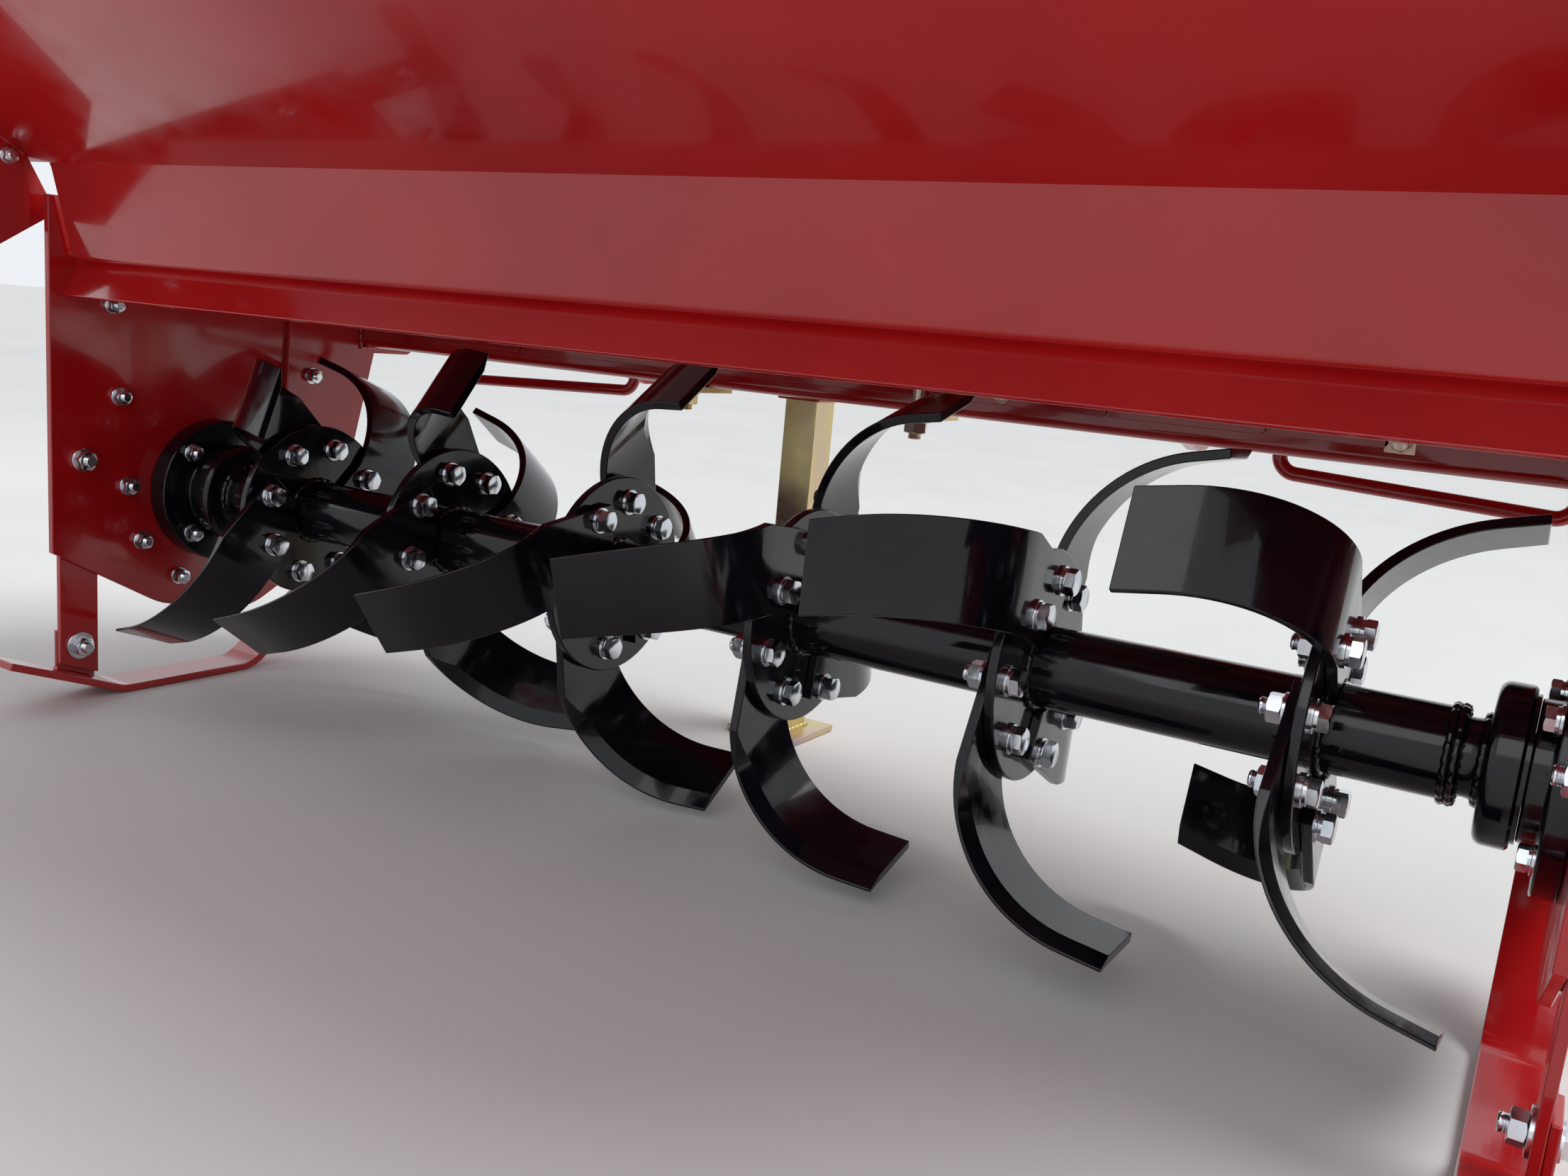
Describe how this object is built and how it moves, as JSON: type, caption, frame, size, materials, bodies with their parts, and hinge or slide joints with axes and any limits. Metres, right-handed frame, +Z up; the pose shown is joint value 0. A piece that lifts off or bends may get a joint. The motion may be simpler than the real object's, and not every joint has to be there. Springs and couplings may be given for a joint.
{
  "type": "tractor-mounted rotavator",
  "caption": "Tractor-mounted rotary tiller with flanged rotor, bent blades, raised tailboard, skids, mast and side drive case.",
  "frame": {"origin": "tip of the input shaft, on its axis", "axes": "+X right as seen from behind, +Y forward along the input shaft, +Z up"},
  "size_m": [1.5, 0.8525, 0.902],
  "materials": {
    "red_paint": "glossy red enamel",
    "grey_casting": "dark painted casting",
    "black_paint": "glossy black enamel",
    "bright_steel": "machined",
    "yellow_zinc": "yellow zinc plated",
    "black_plastic": "moulded"
  },
  "bodies": {
    "frame": {"side_plate_left": "red_paint", "side_plate_right": "red_paint", "toolbar": "red_paint", "hood": "red_paint", "plate_strap_left": "red_paint", "plate_strap_right": "red_paint", "skid_left": "red_paint", "skid_hangers_left": "red_paint", "skid_right": "red_paint", "skid_hangers_right": "red_paint", "guard_rail_left": "red_paint", "guard_rail_right": "red_paint", "drive_case": "red_paint", "drive_case_cover": "red_paint", "cross_tube": "red_paint", "mast_upright_left": "red_paint", "mast_stay_left": "red_paint", "mast_upright_right": "red_paint", "mast_stay_right": "red_paint", "stay_lug": "red_paint", "link_plate_left": "red_paint", "link_plate_right": "red_paint", "leg_sleeve": "red_paint", "gearbox": "grey_casting", "gearbox_front_cover": "grey_casting", "gearbox_rear_cover": "grey_casting", "gearbox_side_cover": "grey_casting", "bearing_housing_left": "black_paint", "bearing_housing_right": "black_paint", "bearing_cap": "black_paint", "hinge_rod": "bright_steel", "top_link_pin": "yellow_zinc", "link_pin_left": "yellow_zinc", "link_pin_right": "yellow_zinc", "input_shield": "black_plastic"},
    "rotor": {"rotor_shaft": "black_paint", "rotor_flanges": "black_paint", "rotor_tines": "black_paint"},
    "tailboard": {"tailboard_leaf": "red_paint", "tailboard_panel": "red_paint", "tailboard_wing_left": "red_paint", "tailboard_wing_right": "red_paint"},
    "parking_leg": {"parking_leg": "yellow_zinc"},
    "input_shaft": {"input_shaft": "bright_steel"}
  },
  "joints": [
    {"name": "rotor_spin", "type": "hinge", "parent": "frame", "child": "rotor", "pos_m": [0, -0.21, -0.4], "axis": [-1, 0, 0], "continuous": true},
    {"name": "input_spin", "type": "hinge", "parent": "frame", "child": "input_shaft", "pos_m": [0, 0, 0], "axis": [0, 1, 0], "continuous": true},
    {"name": "tailboard_hinge", "type": "hinge", "parent": "frame", "child": "tailboard", "pos_m": [0, -0.373, -0.15], "axis": [1, 0, 0], "range_deg": [-18, 110]},
    {"name": "leg_slide", "type": "slide", "parent": "frame", "child": "parking_leg", "axis": [0, 0, 1], "range_m": [0, 0.17]}
  ],
  "couplings": [
    {"joint": "input_spin", "follows": "rotor_spin", "ratio": 2.7}
  ]
}
